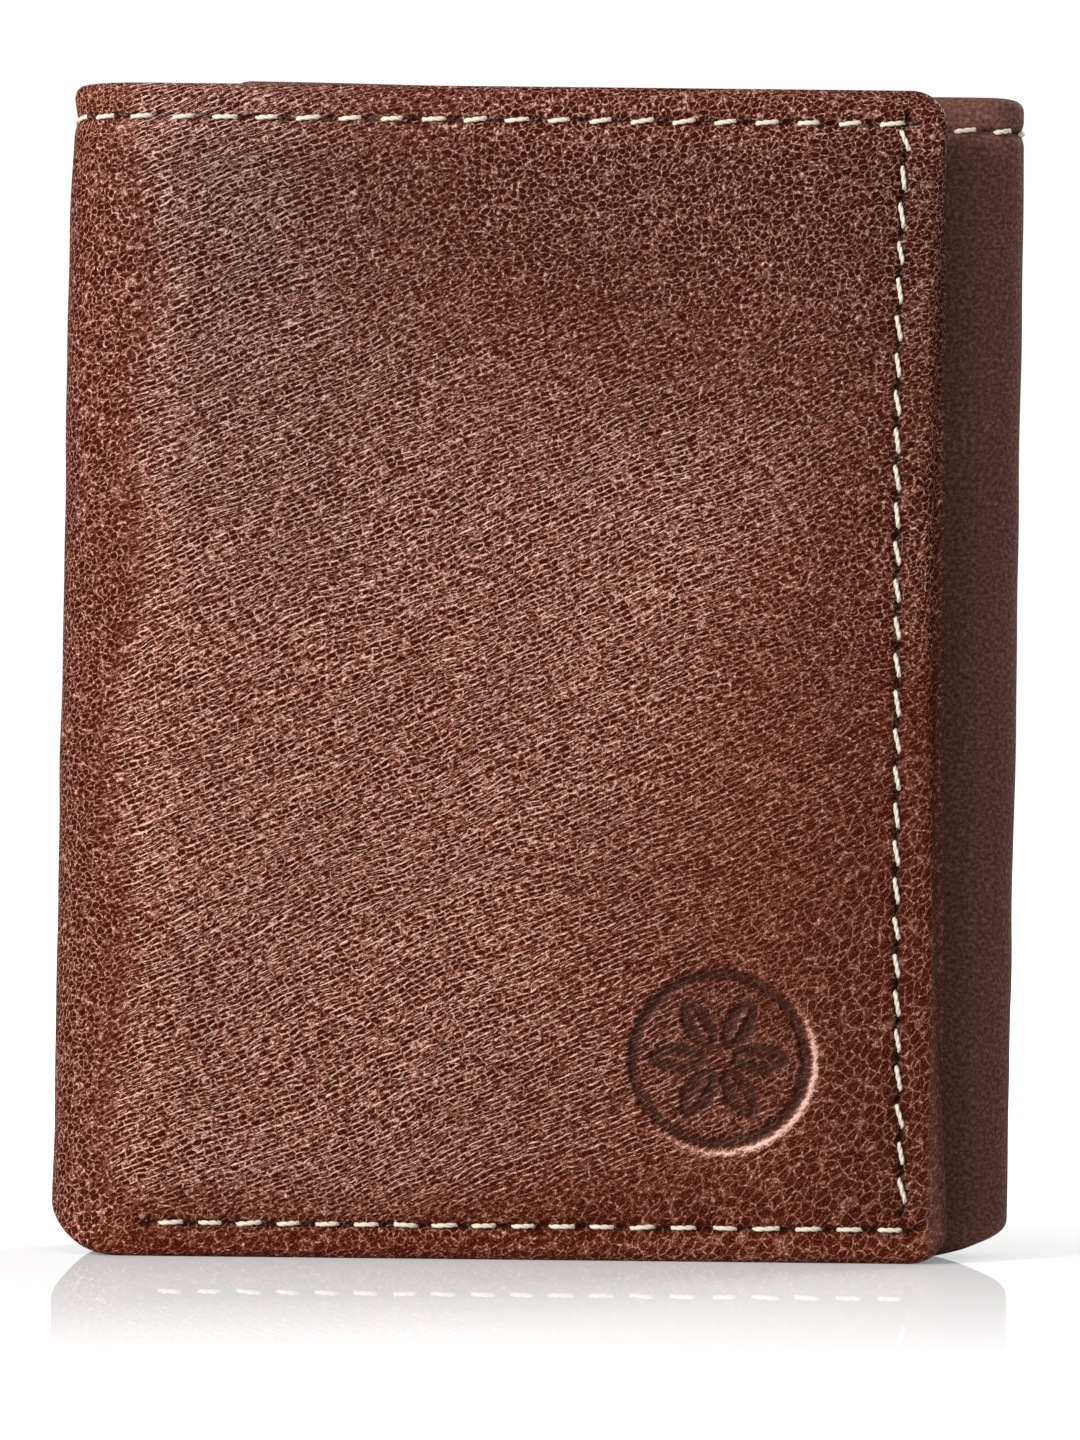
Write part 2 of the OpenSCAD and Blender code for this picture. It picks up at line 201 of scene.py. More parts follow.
def row_points():
    """Every stitch on the outer face: u, v, direction in the flat plane, row name."""
    found = []
    top_v = HEIGHT - TOP_ROW
    u = EDGE_ROW + 1.3 * MM
    while u < U_END - EDGE_ROW - 1 * MM:
        found.append((u, top_v, math.pi - ROW_LEAN, "top"))
        u += ROW_PITCH
    for first, last in ((EDGE_ROW + 1.2 * MM, U_FRONT + LEFT_R - 9.5 * MM),
                        (U_CENTRE + 4 * MM, U_CENTRE_END - 4 * MM),
                        (U_INNER + 13 * MM, U_END - EDGE_ROW - 1.2 * MM)):
        for u in np.arange(first, last, LOW_PITCH):
            found.append((u, LOW_ROW, math.pi - ROW_LEAN * 0.4, "low"))
    down = np.arange(HEIGHT - TOP_ROW - 1.5 * MM, LOW_ROW + 1.2 * MM, -EDGE_PITCH)
    for k, v in enumerate(down):
        lean = EDGE_LEAN + (math.radians(13) if k == 0 else 0)
        found.append((edge_row_u(v), v, math.pi / 2 - lean, "edge"))
        found.append((U_END - EDGE_ROW, v, math.pi / 2 + lean, "edge"))
    return found


STITCHES = row_points()
PITCH = {"top": ROW_PITCH, "low": LOW_PITCH, "edge": EDGE_PITCH}


def holes():
    """The gaps between neighbouring stitches, where the thread dips through the leather."""
    found = []
    for u, v, heading, row in STITCHES:
        half = PITCH[row] / 2
        step_u, step_v = (0, half) if row == "edge" else (half, 0)
        for side in (-1, 1):
            found.append((u + side * step_u, v + side * step_v, row))
    return found


# GROOVE_SHADE is how much painted shade lies along a stitch groove.
GROOVE_DEPTH, GROOVE_HALF, GROOVE_SHADE = 0.24 * MM, 0.75 * MM, 0.35
SLIT_DEPTH, SLIT_HALF_L, SLIT_HALF_W = 0.62 * MM, 0.85 * MM, 0.24 * MM
SWELL = 0.12 * MM


def stitch_relief(u, v):
    """Depth of the stitch groove and needle holes, and the painted shade laid along the groove and in the
    holes.
    """
    depth, painted_stitch_shade = np.zeros(u.shape), np.zeros(u.shape)
    rows = [(np.abs(v - (HEIGHT - TOP_ROW)), (u > EDGE_ROW) & (u < U_END - EDGE_ROW)),
            (np.abs(v - LOW_ROW), (u > EDGE_ROW) & (u < U_FRONT + LEFT_R - 9 * MM)),
            (np.abs(v - LOW_ROW), (u > U_CENTRE + 2 * MM) & (u < U_CENTRE_END - 2 * MM)),
            (np.abs(v - LOW_ROW), (u > U_INNER + 11 * MM) & (u < U_END - EDGE_ROW)),
            (np.abs(u - edge_row_u(v)), (v > LOW_ROW) & (v < HEIGHT - TOP_ROW)),
            (np.abs(u - (U_END - EDGE_ROW)), (v > LOW_ROW) & (v < HEIGHT - TOP_ROW))]
    for across, inside in rows:
        near = inside & (across < 3 * MM)
        groove = np.exp(-(across[near] / GROOVE_HALF) ** 2)
        depth[near] = np.maximum(depth[near], GROOVE_DEPTH * groove)
        # Painted shade along the groove.
        shade = np.exp(-(across[near] / (0.4 * MM)) ** 2)
        painted_stitch_shade[near] = np.maximum(painted_stitch_shade[near], GROOVE_SHADE * shade)
    for hu, hv, row in holes():
        near = (np.abs(u - hu) < 2.4 * MM) & (np.abs(v - hv) < 2.4 * MM)
        slant = -SLIT_LEAN if row != "edge" else math.pi / 2 + (SLIT_LEAN if hu < U_FRONT else -SLIT_LEAN)
        off_u, off_v = u[near] - hu, v[near] - hv
        along = off_u * math.cos(slant) + off_v * math.sin(slant)
        side = off_v * math.cos(slant) - off_u * math.sin(slant)
        slit = np.exp(-(along / SLIT_HALF_L) ** 4 - (side / SLIT_HALF_W) ** 2)
        depth[near] = np.maximum(depth[near], SLIT_DEPTH * slit)
        # Painted shade in the needle hole, at full strength.
        painted_stitch_shade[near] = np.maximum(painted_stitch_shade[near], slit)
    # The leather swells a little on both sides of each stitch.
    for su, sv, _, row in STITCHES:
        wide_u, wide_v = (1.0 * MM, 0.8 * MM) if row == "edge" else (0.8 * MM, 1.0 * MM)
        near = (np.abs(u - su) < 3 * MM) & (np.abs(v - sv) < 3 * MM)
        off_u, off_v = (u[near] - su) / wide_u, (v[near] - sv) / wide_v
        across = off_u if row == "edge" else off_v
        swell = np.exp(-off_u ** 2 - off_v ** 2) * np.minimum(1, across ** 2)
        depth[near] -= SWELL * swell
    return depth, painted_stitch_shade


def emblem_relief(u, v):
    """A ring round a six-petal rosette, pressed into the leather: 0 outside, 1 pressed."""
    x, y = -(u - EMBLEM_U), v - EMBLEM_V
    r, a = np.hypot(x, y), np.arctan2(y, x)
    soft = 0.16 * MM
    disc = 1 - smooth(r, EMBLEM_R - soft, EMBLEM_R + soft)
    ring = disc * smooth(r, EMBLEM_R - 1.0 * MM - soft, EMBLEM_R - 1.0 * MM + soft)
    turn = (a + math.pi / 6) % (math.pi / 3) - math.pi / 6
    along, across = r * np.cos(turn), np.abs(r * np.sin(turn))
    width = 1.45 * MM * np.sin(np.pi * np.clip((along - 0.9 * MM) / (5.5 * MM), 0, 1)) ** 0.7
    petal = (1 - smooth(across - width, -soft, soft)) * smooth(along, 0.9 * MM, 1.3 * MM)
    petal = petal * (1 - smooth(along, 6.2 * MM, 6.5 * MM))
    vein = (1 - smooth(across, 0.12 * MM, 0.3 * MM)) * smooth(along, 1.6 * MM, 2.2 * MM)
    vein = vein * (1 - smooth(along, 4.9 * MM, 5.5 * MM))
    return np.maximum(np.maximum(ring, petal * (1 - 0.8 * vein)), 0.2 * disc)


def form(u, v):
    """Depth of the slack, padded shape, without the stitch rows and the emblem."""
    across = np.where((u > EDGE_ROW) & (u < U_FRONT), (u - EDGE_ROW) / (U_FRONT - EDGE_ROW), 0)
    crown = np.sin(np.pi * np.clip(across, 0, 1)) * np.sin(np.pi * np.clip(v / HEIGHT, 0, 1)) ** 0.6
    pinch = 0.5 * fold_nearness(u, U_LEFT_MID, 14 * MM) + 0.15 * fold_nearness(u, U_RIGHT_MID, 10 * MM)
    slack = 0.07 * waves(u, v, 3, 26 * MM) + 0.025 * waves(u, v, 4, 7 * MM)
    return MM * (slack - 0.35 * crown + pinch * (1 - smooth(HEIGHT - v, 0, 14 * MM)))


def relief(u, v):
    """Depth to add to the outer face, and the point values that the leather's colour reads: painted shade at
    the stitches, the pressed emblem and a painted highlight on its rim.
    """
    depth, painted_stitch_shade = stitch_relief(u, v)
    pressed = np.where(u < U_FRONT, emblem_relief(u, v), 0)
    rim = np.exp(-((np.hypot(u - EMBLEM_U, v - EMBLEM_V) - EMBLEM_R - 0.35 * MM) / (0.28 * MM)) ** 2)
    rim = rim * (u < U_FRONT)
    depth = depth + form(u, v) + 0.42 * MM * pressed - 0.08 * MM * rim
    # Painted highlight: the rim is made lighter on its lower right only, where the light from the upper left
    # would catch it.
    lit_side = np.clip((EMBLEM_U - u - v + EMBLEM_V) / (1.2 * EMBLEM_R), 0, 1)
    return depth, painted_stitch_shade, pressed, rim * lit_side


def grain_zone(u, v):
    """How streaked, loose and smooth the grain is (the smooth parts are also darker, partly painted shade),
    its brightness, which holds painted light and shade, and how much painted cool sheen it has.
    """
    x, y = (FRONT_EDGE - u - LEFT_X) / MM, v / MM
    wobble = 4 * waves(u, v, 11, 30 * MM)
    streak = smooth(x + 0.5 * wobble, 4, 9) * (1 - smooth(x + wobble - 0.12 * y, 46, 80))
    streak = streak * smooth(y + 0.5 * wobble, 3, 9) * (1 - smooth(y + wobble, 68, 102) * smooth(x, 14, 44))
    loose = smooth(x + wobble - 0.5 * y, 26, 62) * (1 - smooth(y + wobble, 30, 62))
    loose = np.maximum(loose, (1 - smooth(y + 0.5 * wobble, 1, 6)) * 0.6)
    on_front = 1 - smooth(u, U_FRONT, U_FRONT + 6 * MM)
    # The rolled free edge and the inner flap get a smoother grain and a darker colour that is partly painted
    # shade.
    roll = 0.6 * (1 - smooth(u, 0.1 * MM, 0.7 * MM)) * smooth(v, 0, 2 * MM)
    smooth_and_shaded = np.maximum(roll, smooth(u, U_RIGHT_MID - 6 * MM, U_RIGHT_MID))
    # Brightness across the front, partly painted light and shade: darker towards the right and in the upper
    # area, lighter along the top and bottom rims, and a painted sheen on the band beside the left fold.
    painted_light_and_tone = 1 - 0.13 * smooth(x, 64, 76) - 0.08 * smooth(y + wobble, 62, 100) * smooth(x, 8, 42)
    painted_light_and_tone = painted_light_and_tone + 0.14 * smooth(x, 3, 6) * (1 - smooth(x, 8, 13))
    painted_light_and_tone = painted_light_and_tone - 0.2 * smooth(y + wobble, 52, 100) * smooth(x, 4, 12) * (1 - smooth(x, 14, 44))
    painted_light_and_tone = painted_light_and_tone + 0.25 * smooth(y, 101, 105) + 0.28 * (1 - smooth(y, 1, 5))
    # Painted sheen: the upper part of the front is made cooler and paler, as a soft reflection from above.
    painted_cool_sheen = smooth(y + wobble, 48, 100) * on_front
    return streak * on_front, loose * on_front, smooth_and_shaded, painted_light_and_tone, painted_cool_sheen


# ---------------------------------------------------------------- meshes
def make(name, points, faces, material, values=None, sharp_faces=(), flat=None):
    """A piece from points and faces. values are point attributes; flat keeps u, v and d."""
    mesh = bpy.data.meshes.new(name)
    mesh.from_pydata(points.tolist(), [], faces)
    for key, value in (values or {}).items():
        mesh.attributes.new(key, "FLOAT", "POINT").data.foreach_set("value", value.astype(np.float32))
    if flat is not None:
        layer = mesh.attributes.new("flat", "FLOAT_VECTOR", "POINT")
        layer.data.foreach_set("vector", flat.astype(np.float32).ravel())
    mesh.materials.append(material)
    mesh.polygons.foreach_set("use_smooth", np.ones(len(mesh.polygons), bool))
    piece = bpy.data.objects.new(name, mesh)
    bpy.context.scene.collection.objects.link(piece)
    sharpen(mesh, sharp_faces)
    return piece


def sharpen(mesh, face_numbers):
    """Marks the outlines of these faces sharp, so that they don't shade their neighbours."""
    if not len(face_numbers):
        return
    sharp = set()
    for number in face_numbers:
        sharp.update(mesh.polygons[number].edge_keys)
    keys = mesh.edge_keys
    flags = np.fromiter((k in sharp for k in keys), bool, len(keys))
    order = {tuple(sorted(e.vertices)): e.index for e in mesh.edges}
    layer = mesh.attributes.new("sharp_edge", "BOOLEAN", "EDGE")
    values = np.zeros(len(mesh.edges), bool)
    for key, flag in zip(keys, flags):
        if flag:
            values[order[key]] = True
    layer.data.foreach_set("value", values)


def tube_faces(columns, around):
    """Quads between neighbouring closed loops, and the two end caps."""
    i = np.arange(columns - 1)[:, None] * around
    k = np.arange(around)[None, :]
    nxt = (k + 1) % around
    quads = np.stack([i + k, i + nxt, i + around + nxt, i + around + k], -1).reshape(-1, 4)
    faces = quads.tolist()
    faces.append(list(range(around))[::-1])
    last = (columns - 1) * around
    faces.append(list(range(last, last + around)))
    return faces


def spaced(first, last, step, fine=()):
    """Numbers from first to last about a step apart, closer inside the fine ranges (low, high, step)."""
    numbers = [first]
    while numbers[-1] < last - 1e-9:
        here = numbers[-1]
        pace = min([step] + [f[2] for f in fine if f[0] <= here < f[1]])
        numbers.append(here + pace)
    numbers = np.array(numbers)
    return first + (numbers - first) * (last - first) / (numbers[-1] - first)


def edge_distance(s, v, low, high):
    """Distance to the rounded outline of a panel whose free edge is at s = 0."""
    e = np.minimum(v - low, high - v)
    plain = np.minimum(s, e)
    a, b = CORNER_R - s, CORNER_R - e
    rounded = CORNER_R - np.hypot(np.maximum(a, 0), np.maximum(b, 0))
    return np.where((a > 0) & (b > 0), rounded, plain)


def rolled(s, depth, width=ROLL_W):
    """Depth of a turned edge's round face at distance s from the outline."""
    t = np.clip(1 - s / width, 0, 1)
    return depth * (1 - np.sqrt(np.clip(1 - t * t, 0, 1)))


# Turns of the points round a rolled edge, outside and inside, in degrees.
OUTER_TURNS, BACK_TURNS = (0, 22, 42, 60, 76), (25, 50, 76)
STITCH_STEP = 0.24 * MM


def shell(name, columns, row_step, edge_u=None, fine_rows=()):
    """One closed length of the leather: outer face, round rims, turned edges and inner face."""
    half = HEM_T / 2
    rim = ROLL_W * (1 - np.cos(np.radians(OUTER_TURNS)))
    fine = [(0.6 * MM, 4.6 * MM, STITCH_STEP),
            (HEIGHT - 5.2 * MM, HEIGHT - 1.2 * MM, STITCH_STEP), *fine_rows]
    middle = spaced(ROLL_W, HEIGHT - ROLL_W, row_step, fine)
    rows = np.concatenate([rim, middle, HEIGHT - rim[::-1]])
    back_s = ROLL_W * (1 - np.cos(np.radians(BACK_TURNS)))
    back_rows = [(s, 0) for s in back_s] + [(HEM_W, 0), (HEM_W + 0.1 * MM, 1)]
    s_column = np.full(len(columns), 1.0) if edge_u is None else np.abs(columns - edge_u)
    reach = CORNER_R - s_column
    cut = np.where(reach > 0, CORNER_R - np.sqrt(np.clip(CORNER_R ** 2 - reach ** 2, 0, None)), 0)
    low, high = low_edge(columns) + cut, high_edge(columns) - cut
    base_low, base_high = low_edge(columns), high_edge(columns)
    span = (high - low) / HEIGHT
    v_outer = low[:, None] + rows[None, :] * span[:, None]
    near = edge_distance(s_column[:, None], v_outer, base_low[:, None], base_high[:, None])
    u_outer = np.repeat(columns[:, None], len(rows), 1)
    depth, painted_stitch_shade, pressed, painted_rim_highlight = relief(u_outer, v_outer)
    fade = smooth(near, 0, 1.4 * MM)
    d_outer = rolled(near, half) + depth * fade
    v_parts, d_parts = [v_outer], [d_outer]
    for end in (1, -1):
        order = back_rows if end == 1 else back_rows[::-1]
        for inset, deep in order:
            limit = np.minimum(inset, 0.48 * (high - low))
            v = high - limit if end == 1 else low + limit
            e = edge_distance(s_column, v, base_low, base_high)
            inner = np.full(len(columns), LEATHER_T) if deep else HEM_T - rolled(e, HEM_T - half)
            inner = np.where(s_column < HEM_W, np.maximum(inner, HEM_T - rolled(e, half)), inner)
            v_parts.append(v[:, None])
            d_parts.append(inner[:, None])
    v_all, d_all = np.concatenate(v_parts, 1), np.concatenate(d_parts, 1)
    u_all = np.repeat(columns[:, None], v_all.shape[1], 1)
    if edge_u == 0:
        u_all = warp(u_all, v_all)
    flat = np.stack([u_all.ravel(), v_all.ravel(), d_all.ravel()], 1)
    points = place(*flat.T)
    # The grain runs on over the rolled edges: there the depth counts as length.
    over = smooth(flat[:, 1], HEIGHT - 3 * MM, HEIGHT - MM) - 1 + smooth(flat[:, 1], MM, 3 * MM)
    flat[:, 1] += flat[:, 2] * over
    if edge_u is not None:
        outward = -1 if edge_u == 0 else 1
        flat[:, 0] += outward * flat[:, 2] * (1 - smooth(np.abs(flat[:, 0] - edge_u), MM, 3 * MM))
    extra = np.zeros((len(columns), v_all.shape[1] - len(rows)))
    # Point values for the colour; several are painted light and shade: the brightness, the cool sheen, the
    # darker smooth parts, the stitch shade and the rim highlight.
    values = dict(zip(("streak", "loose", "smooth_and_shaded", "painted_light_and_tone", "painted_cool_sheen"), grain_zone(u_all.ravel(), v_all.ravel())))
    for key, value in (("stitch_shade_amount", painted_stitch_shade), ("pressed", pressed), ("rim", painted_rim_highlight)):
        values[key] = np.concatenate([value, extra], 1).ravel()
    faces = tube_faces(len(columns), v_all.shape[1])
    return make(name, points, faces, LEATHER, values, [len(faces) - 1, len(faces) - 2], flat)


def layer(name, columns, low, high, d0, d1, material, rows=24, dips=()):
    """A thin closed sheet between two depths with blunt edges. dips are (height, depth, width) creases."""
    v = spaced(0, 1, 1 / rows)
    half = (d1 - d0) / 2
    lows, highs = np.broadcast_to(low, columns.shape), np.broadcast_to(high, columns.shape)
    edge = min(0.4 * half / (highs - lows).min(), 0.01)
    v_loop = np.concatenate([[0], [edge], v[1:-1], [1 - edge], [1], [1 - edge], v[-2:0:-1], [edge]])
    count = len(v)
    d_loop = np.concatenate([[d0 + half], np.full(count, d0), [d0 + half], np.full(count, d1)])
    v_all = lows[:, None] + v_loop[None, :] * (highs - lows)[:, None]
    d_all = np.repeat(d_loop[None, :], len(columns), 0)
    inner = d_all >= d1 - 1e-9
    for height, depth, width in dips:
        d_all = d_all - inner * depth * np.exp(-((v_all - height) / width) ** 2)
    u_all = np.repeat(columns[:, None], len(v_loop), 1)
    flat = np.stack([u_all.ravel(), v_all.ravel(), d_all.ravel()], 1)
    faces = tube_faces(len(columns), len(v_loop))
    return make(name, place(*flat.T), faces, material, None, [len(faces) - 1, len(faces) - 2], flat)


def thread(name, stitches, centre_depth, inward=1, radius=0.24 * MM, length=2.5 * MM,
           warped=False, shaped=False):
    """Two-ply stitches. Each rises out of one hole and dips into the next."""
    rings, sides, plies, turns = 13, 6, 2, 1.6
    t = np.linspace(0, 1, rings)
    ring = np.arange(sides) * 2 * math.pi / sides
    points, faces, flats = [], [], []
    for u, v, heading in stitches:
        long_by = length * rng.uniform(0.94, 1.06)
        tilt = heading + rng.normal(0, math.radians(2.5))
        start = rng.uniform(0, 2 * math.pi)
        for ply in range(plies):
            along = (t - 0.5) * long_by
            twist = start + ply * math.pi + t * turns * 2 * math.pi
            sag = 0.62 * MM * np.abs(2 * t - 1) ** 4 - 0.05 * MM
            side = 0.3 * radius * np.cos(twist)
            lift = 0.3 * radius * np.sin(twist)
            thick = 0.7 * radius * np.ones(rings)
            across = side[:, None] + thick[:, None] * np.cos(ring)
            deep = (sag + lift)[:, None] + thick[:, None] * np.sin(ring)
            run = np.repeat(along[:, None], sides, 1)
            pu = u + run * math.cos(tilt) - across * math.sin(tilt)
            pv = v + run * math.sin(tilt) + across * math.cos(tilt)
            if warped:
                pu = warp(pu, pv)
            pd = centre_depth + inward * deep + (form(pu, pv) if shaped else 0)
            base = len(points) * rings * sides
            flats.append(np.stack([pu.ravel(), pv.ravel(), pd.ravel()], 1))
            points.append(np.stack([run.ravel(), across.ravel(), deep.ravel()], 1))
            faces += [[base + i for i in face] for face in tube_faces(rings, sides)]
    flat = np.concatenate(flats)
    return make(name, place(*flat.T), faces, THREAD, None, (), np.concatenate(points))


# ---------------------------------------------------------------- materials
def tree(name):
    material = bpy.data.materials.new(name)
    material.use_nodes = True
    nodes = material.node_tree.nodes
    return material, nodes, material.node_tree.links, nodes["Principled BSDF"]


def attribute(nodes, name):
    node = nodes.new("ShaderNodeAttribute")
    node.attribute_name = name
    return node


def math_node(nodes, links, operation, a, b=None, clamp=False):
    node = nodes.new("ShaderNodeMath")
    node.operation, node.use_clamp = operation, clamp
    for socket, value in zip(node.inputs, (a, b)):
        if isinstance(value, (int, float)):
            socket.default_value = value
        elif value is not None:
            links.new(value, socket)
    return node.outputs[0]


def ramp(nodes, links, source, stops):
    node = nodes.new("ShaderNodeValToRGB")
    while len(node.color_ramp.elements) < len(stops):
        node.color_ramp.elements.new(0.5)
    for element, (at, value) in zip(node.color_ramp.elements, stops):
        element.position = at
        element.color = (*value, 1) if hasattr(value, "__len__") else (value, value, value, 1)
    links.new(source, node.inputs[0])
    return node.outputs[0]


def mix(nodes, links, share, a, b, kind="MIX"):
    node = nodes.new("ShaderNodeMix")
    node.data_type, node.blend_type = "RGBA", kind
    for socket, value in ((node.inputs[0], share), (node.inputs[6], a), (node.inputs[7], b)):
        if isinstance(value, bpy.types.NodeSocket):
            links.new(value, socket)
        else:
            socket.default_value = value if isinstance(value, (int, float)) else (*value, 1)
    return node.outputs[2]


def mapped(nodes, links, source, turn=0.0, scale=(1, 1, 1)):
    """Coordinates turned in the flat plane, then scaled."""
    spin = nodes.new("ShaderNodeVectorRotate")
    spin.rotation_type = "Z_AXIS"
    spin.inputs["Angle"].default_value = math.radians(turn)
    links.new(source, spin.inputs["Vector"])
    node = nodes.new("ShaderNodeMapping")
    node.inputs["Scale"].default_value = scale
    links.new(spin.outputs[0], node.inputs["Vector"])
    return node.outputs[0]


def noise(nodes, links, source, scale, detail=2.0, rough=0.5):
    node = nodes.new("ShaderNodeTexNoise")
    node.inputs["Scale"].default_value = scale
    node.inputs["Detail"].default_value = detail
    node.inputs["Roughness"].default_value = rough
    links.new(source, node.inputs["Vector"])
    return node


def cells(nodes, links, source, scale=1.0, randomness=1.0):
    """Distance to the edge of the nearest cell, in cells."""
    node = nodes.new("ShaderNodeTexVoronoi")
    node.feature = "DISTANCE_TO_EDGE"
    node.inputs["Scale"].default_value = scale
    node.inputs["Randomness"].default_value = randomness
    links.new(source, node.inputs["Vector"])
    return node.outputs["Distance"]


def shell_leather():
    """Pebbled leather: thin pale ridges round dark cells, drawn out on a slant where it was stretched. The
    palest ridges are partly a painted highlight, and point values add painted light and shade.
    """
    material, nodes, links, shader = tree("shell_leather")
    flat = attribute(nodes, "flat").outputs["Vector"]
    in_mm = nodes.new("ShaderNodeVectorMath")
    in_mm.operation = "MULTIPLY"
    in_mm.inputs[1].default_value = (-1000, 1000, 0)
    links.new(flat, in_mm.inputs[0])
    spot = in_mm.outputs[0]
    for scale, reach in ((0.05, 3.0), (0.9, 0.32)):
        wobble = noise(nodes, links, spot, scale, 2.0)
        shift = nodes.new("ShaderNodeVectorMath")
        shift.operation = "MULTIPLY_ADD"
        links.new(wobble.outputs["Color"], shift.inputs[0])
        shift.inputs[1].default_value = (reach, reach, 0)
        links.new(spot, shift.inputs[2])
        spot = shift.outputs[0]
    plain = cells(nodes, links, mapped(nodes, links, spot, -25, (1.4, 1.95, 1)), randomness=0.8)
    drawn = cells(nodes, links, mapped(nodes, links, spot, -24, (1.2, 2.2, 1)), randomness=0.62)
    loose = cells(nodes, links, mapped(nodes, links, spot, -50, (0.8, 1.35, 1)), randomness=0.75)
    streak_share = attribute(nodes, "streak").outputs["Fac"]
    loose_share = attribute(nodes, "loose").outputs["Fac"]
    edge = mix(nodes, links, loose_share, mix(nodes, links, streak_share, plain, drawn), loose)
    narrow = ramp(nodes, links, loose_share, [(0.0, 1.0), (1.0, 1.5)])
    edge = math_node(nodes, links, "MULTIPLY", edge, narrow)
    ridge = ramp(nodes, links, edge, [(0.0, 1.0), (0.06, 0.7), (0.13, 0.2), (0.25, 0.0)])
    broken = noise(nodes, links, spot, 2.6, 3.0, 0.65).outputs["Fac"]
    whole = ramp(nodes, links, broken, [(0.36, 0.2), (0.62, 1.0)])
    ridge = math_node(nodes, links, "MULTIPLY", ridge, whole)
    # Long ridges half a millimetre apart run along the slant where the leather is stretched.
    across = nodes.new("ShaderNodeSeparateXYZ")
    links.new(mapped(nodes, links, spot, -24, (1, 2.0, 1)), across.inputs[0])
    drift = noise(nodes, links, mapped(nodes, links, spot, -24, (0.3, 0.8, 1)), 1.0, 2.0).outputs["Fac"]
    row = math_node(nodes, links, "MULTIPLY_ADD", drift, 1.6)
    links.new(across.outputs["Y"], row.node.inputs[2])
    row = math_node(nodes, links, "PINGPONG", row, 0.5)
    row = ramp(nodes, links, row, [(0.0, 1.0), (0.1, 0.75), (0.2, 0.15), (0.3, 0.0)])
    gaps = noise(nodes, links, mapped(nodes, links, spot, -24, (1.5, 3.3, 1)), 1.0, 2.0, 0.6).outputs["Fac"]
    row = math_node(nodes, links, "MULTIPLY", row, ramp(nodes, links, gaps, [(0.36, 0.1), (0.56, 1.0)]))
    drawn_out = math_node(nodes, links, "MAXIMUM", row, math_node(nodes, links, "MULTIPLY", ridge, 0.9))
    smooth_and_shaded = attribute(nodes, "smooth_and_shaded").outputs["Fac"]
    lift = mix(nodes, links, streak_share, ridge, drawn_out)
    lift = math_node(nodes, links, "MULTIPLY", lift, ramp(nodes, links, smooth_and_shaded, [(0.0, 1.0), (1.0, 0.4)]))
    fine = noise(nodes, links, spot, 5.0, 3.0, 0.75).outputs["Fac"]
    speck = ramp(nodes, links, fine, [(0.44, 0.0), (0.72, 0.5)])
    broad = noise(nodes, links, in_mm.outputs[0], 0.06, 2.0).outputs["Fac"]
    weight = ramp(nodes, links, streak_share, [(0.0, 0.76), (1.0, 0.92)])
    fainter = ramp(nodes, links, loose_share, [(0.0, 1.0), (1.0, 0.7)])
    weight = math_node(nodes, links, "MULTIPLY", weight, fainter)
    tone_and_highlight = math_node(nodes, links, "ADD", math_node(nodes, links, "MULTIPLY", lift, weight), speck)
    sunk = ramp(nodes, links, loose_share, [(0.0, 0.12), (1.0, 0.03)])
    tone_and_highlight = math_node(nodes, links, "SUBTRACT", tone_and_highlight, sunk)
    # Painted highlight on the lower right of the emblem's rim.
    rim = attribute(nodes, "rim").outputs["Fac"]
    tone_and_highlight = math_node(nodes, links, "ADD", tone_and_highlight, math_node(nodes, links, "MULTIPLY", rim, 0.75), True)
    # The lightest colours of this ramp, on the ridges and specks, are partly the leather's own paler grain
    # and partly a painted highlight.
    skin = ramp(nodes, links, tone_and_highlight, [(0.0, (0.034, 0.003, 0.001)), (0.2, (0.115, 0.023, 0.01)),
                                     (0.45, (0.3, 0.103, 0.06)), (0.9, (1.0, 0.64, 0.53))])
    # Smoother, duller colours for the inner flap and the rolled edge, darkened partly as painted shade.
    shaded_smooth_skin = math_node(nodes, links, "MULTIPLY_ADD", lift, 0.25)
    links.new(broken, shaded_smooth_skin.node.inputs[2])
    shaded_smooth_skin = ramp(nodes, links, shaded_smooth_skin, [(0.3, (0.08, 0.031, 0.022)), (0.5, (0.14, 0.06, 0.047)),
                                     (0.85, (0.3, 0.16, 0.13))])
    skin = mix(nodes, links, math_node(nodes, links, "MULTIPLY", smooth_and_shaded, 0.88), skin, shaded_smooth_skin)
    # The brightness carries painted light and shade, times a random change of tone.
    painted_light_and_tone = math_node(nodes, links, "MULTIPLY", attribute(nodes, "painted_light_and_tone").outputs["Fac"],
                     ramp(nodes, links, broad, [(0.3, 0.9), (0.7, 1.0)]))
    skin = mix(nodes, links, 1.0, skin, painted_light_and_tone, "MULTIPLY")
    # Painted sheen: a cooler, paler colour towards the top of the front.
    painted_cool_sheen = attribute(nodes, "painted_cool_sheen").outputs["Fac"]
    skin = mix(nodes, links, painted_cool_sheen, skin, (0.96, 1.06, 1.17), "MULTIPLY")
    pressed = attribute(nodes, "pressed").outputs["Fac"]
    skin = mix(nodes, links, math_node(nodes, links, "MULTIPLY", pressed, 0.75), skin, (0.03, 0.008, 0.004))
